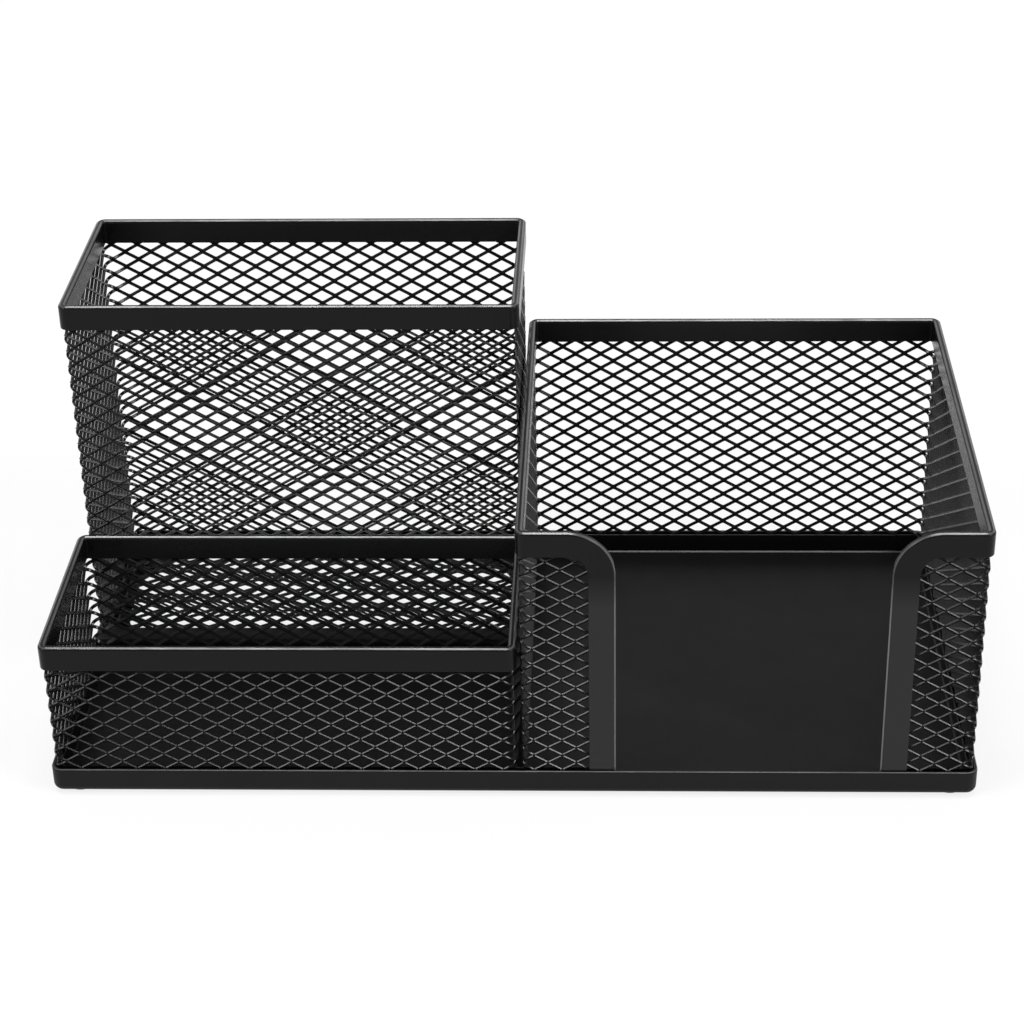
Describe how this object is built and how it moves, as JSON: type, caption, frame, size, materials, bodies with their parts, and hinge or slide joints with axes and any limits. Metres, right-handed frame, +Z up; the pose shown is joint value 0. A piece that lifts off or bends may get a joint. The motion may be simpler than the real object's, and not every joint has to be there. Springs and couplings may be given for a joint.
{
  "type": "mesh desk organizer",
  "caption": "Black expanded-mesh desk organizer with a tall pen cup, a low clip tray and a note holder with a front window, on one pressed base pan",
  "frame": {"origin": "middle of the footprint, on the surface that the pads stand on", "axes": "+X to the right and along the long side, +Y to the back where the pen cup stands, +Z up"},
  "size_m": [0.205, 0.103, 0.0948],
  "materials": {
    "coated_pan": "black powder coat, satin",
    "coated_rim": "black powder coat, satin",
    "coated_mesh": "black powder coat on mesh",
    "foot_rubber": "matt black foam rubber"
  },
  "bodies": {
    "root": {"base_pan": "coated_pan", "divider_channel": "coated_pan", "pen_cup_rim": "coated_rim", "clip_tray_rim": "coated_rim", "note_holder_rim": "coated_rim", "pen_cup_floor_mesh": "coated_mesh", "pen_cup_front_mesh": "coated_mesh", "pen_cup_right_mesh": "coated_mesh", "pen_cup_back_mesh": "coated_mesh", "pen_cup_left_mesh": "coated_mesh", "clip_tray_front_mesh": "coated_mesh", "clip_tray_right_mesh": "coated_mesh", "clip_tray_back_mesh": "coated_mesh", "clip_tray_left_mesh": "coated_mesh", "note_holder_right_mesh": "coated_mesh", "note_holder_back_mesh": "coated_mesh", "note_holder_left_mesh": "coated_mesh", "note_holder_front_left_mesh": "coated_mesh", "note_holder_front_right_mesh": "coated_mesh", "foot_pad_front_left": "foot_rubber", "foot_pad_front_right": "foot_rubber", "foot_pad_back_left": "foot_rubber", "foot_pad_back_right": "foot_rubber"}
  },
  "joints": []
}
